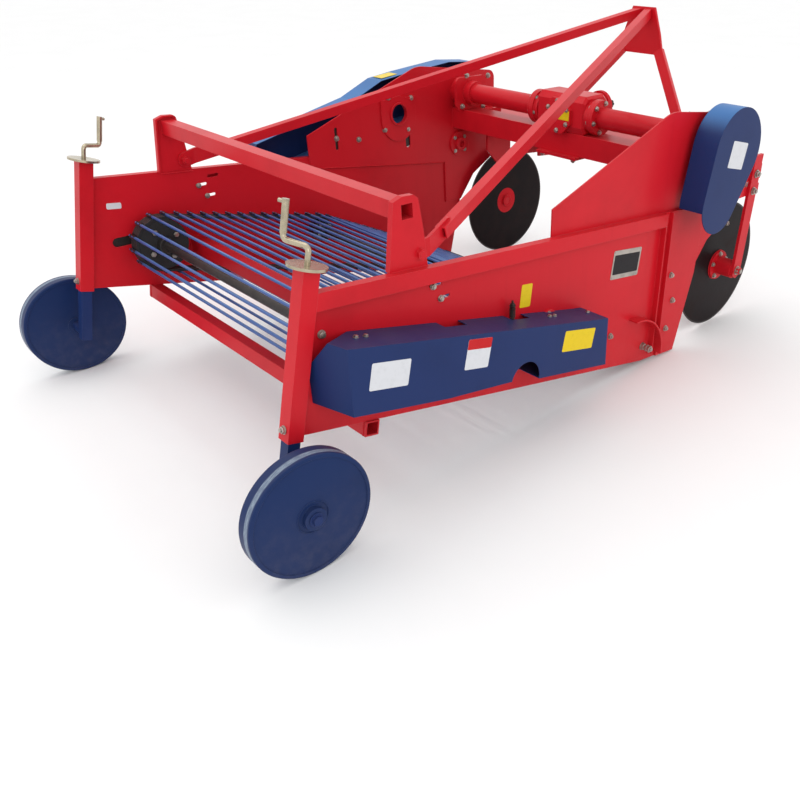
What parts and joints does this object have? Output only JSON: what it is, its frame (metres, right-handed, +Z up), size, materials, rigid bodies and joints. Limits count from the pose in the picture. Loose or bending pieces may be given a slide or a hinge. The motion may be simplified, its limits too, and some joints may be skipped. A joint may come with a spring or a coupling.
{
  "type": "mounted potato digger",
  "caption": "Tractor-mounted potato digger with a rod web between two side plates, disc coulters in front and height-set rear wheels.",
  "frame": {"origin": "on the ground, in the middle of the machine's box", "axes": "+X right side of the machine, +Y forward to the tractor, +Z up"},
  "size_m": [1.842, 2.792, 1.29],
  "materials": {
    "red_paint": "gloss enamel over welded plate",
    "blue_paint": "gloss enamel over sheet steel",
    "rod_paint": "thin enamel over round bar",
    "disc_steel": "dark oiled steel",
    "zinc": "yellow zinc plate",
    "dark_steel": "oily dark steel",
    "belt_rubber": "black rubber belting"
  },
  "bodies": {
    "frame": {"arch_tube": "red_paint", "front_beam": "red_paint", "front_cover": "blue_paint", "front_web_roller": "dark_steel", "gearbox": "red_paint", "left_arch_upright": "red_paint", "left_beam_gusset": "red_paint", "left_bearing_plates": "red_paint", "left_brace": "red_paint", "left_cover": "blue_paint", "left_disc_arm": "red_paint", "left_disc_clamp": "red_paint", "left_front_stiffener": "red_paint", "left_hitch_bracket": "red_paint", "left_rear_post": "red_paint", "left_screw_crank": "zinc", "left_shaft_tube": "red_paint", "left_side_plate": "red_paint", "left_top_rail": "red_paint", "left_upper_plate": "red_paint", "left_wear_strip": "red_paint", "long_cover": "blue_paint", "lower_crossbar": "red_paint", "main_beam": "red_paint", "mast": "red_paint", "middle_cross_member": "red_paint", "middle_web_roller": "dark_steel", "pto_shaft": "dark_steel", "rear_web_shaft": "dark_steel", "right_arch_upright": "red_paint", "right_beam_gusset": "red_paint", "right_brace": "red_paint", "right_disc_arm": "red_paint", "right_disc_clamp": "red_paint", "right_front_stiffener": "red_paint", "right_hitch_bracket": "red_paint", "right_rear_post": "red_paint", "right_screw_crank": "zinc", "right_shaft_tube": "red_paint", "right_side_plate": "red_paint", "right_top_rail": "red_paint", "right_upper_plate": "red_paint", "right_wear_strip": "red_paint", "share": "disc_steel", "share_carrier": "red_paint", "web_belts": "belt_rubber", "web_rods": "rod_paint"},
    "left_leg": {"left_leg": "blue_paint"},
    "right_leg": {"right_leg": "blue_paint"},
    "left_wheel": {"left_wheel": "blue_paint"},
    "right_wheel": {"right_wheel": "blue_paint"},
    "left_disc": {"left_disc": "disc_steel"},
    "right_disc": {"right_disc": "disc_steel"}
  },
  "joints": [
    {"name": "left_leg_slide", "type": "slide", "parent": "frame", "child": "left_leg", "axis": [0, -0.2436, -0.9699], "range_m": [-0.09, 0.11]},
    {"name": "left_wheel_spin", "type": "hinge", "parent": "left_leg", "child": "left_wheel", "pos_m": [-0.865, -1.2, 0.196], "axis": [1, 0, 0], "continuous": true},
    {"name": "left_disc_spin", "type": "hinge", "parent": "frame", "child": "left_disc", "pos_m": [-0.691, 1.112, 0.286], "axis": [1, 0, 0], "continuous": true},
    {"name": "right_leg_slide", "type": "slide", "parent": "frame", "child": "right_leg", "axis": [0, -0.2436, -0.9699], "range_m": [-0.09, 0.11]},
    {"name": "right_wheel_spin", "type": "hinge", "parent": "right_leg", "child": "right_wheel", "pos_m": [0.865, -1.2, 0.196], "axis": [1, 0, 0], "continuous": true},
    {"name": "right_disc_spin", "type": "hinge", "parent": "frame", "child": "right_disc", "pos_m": [0.691, 1.112, 0.286], "axis": [1, 0, 0], "continuous": true}
  ]
}
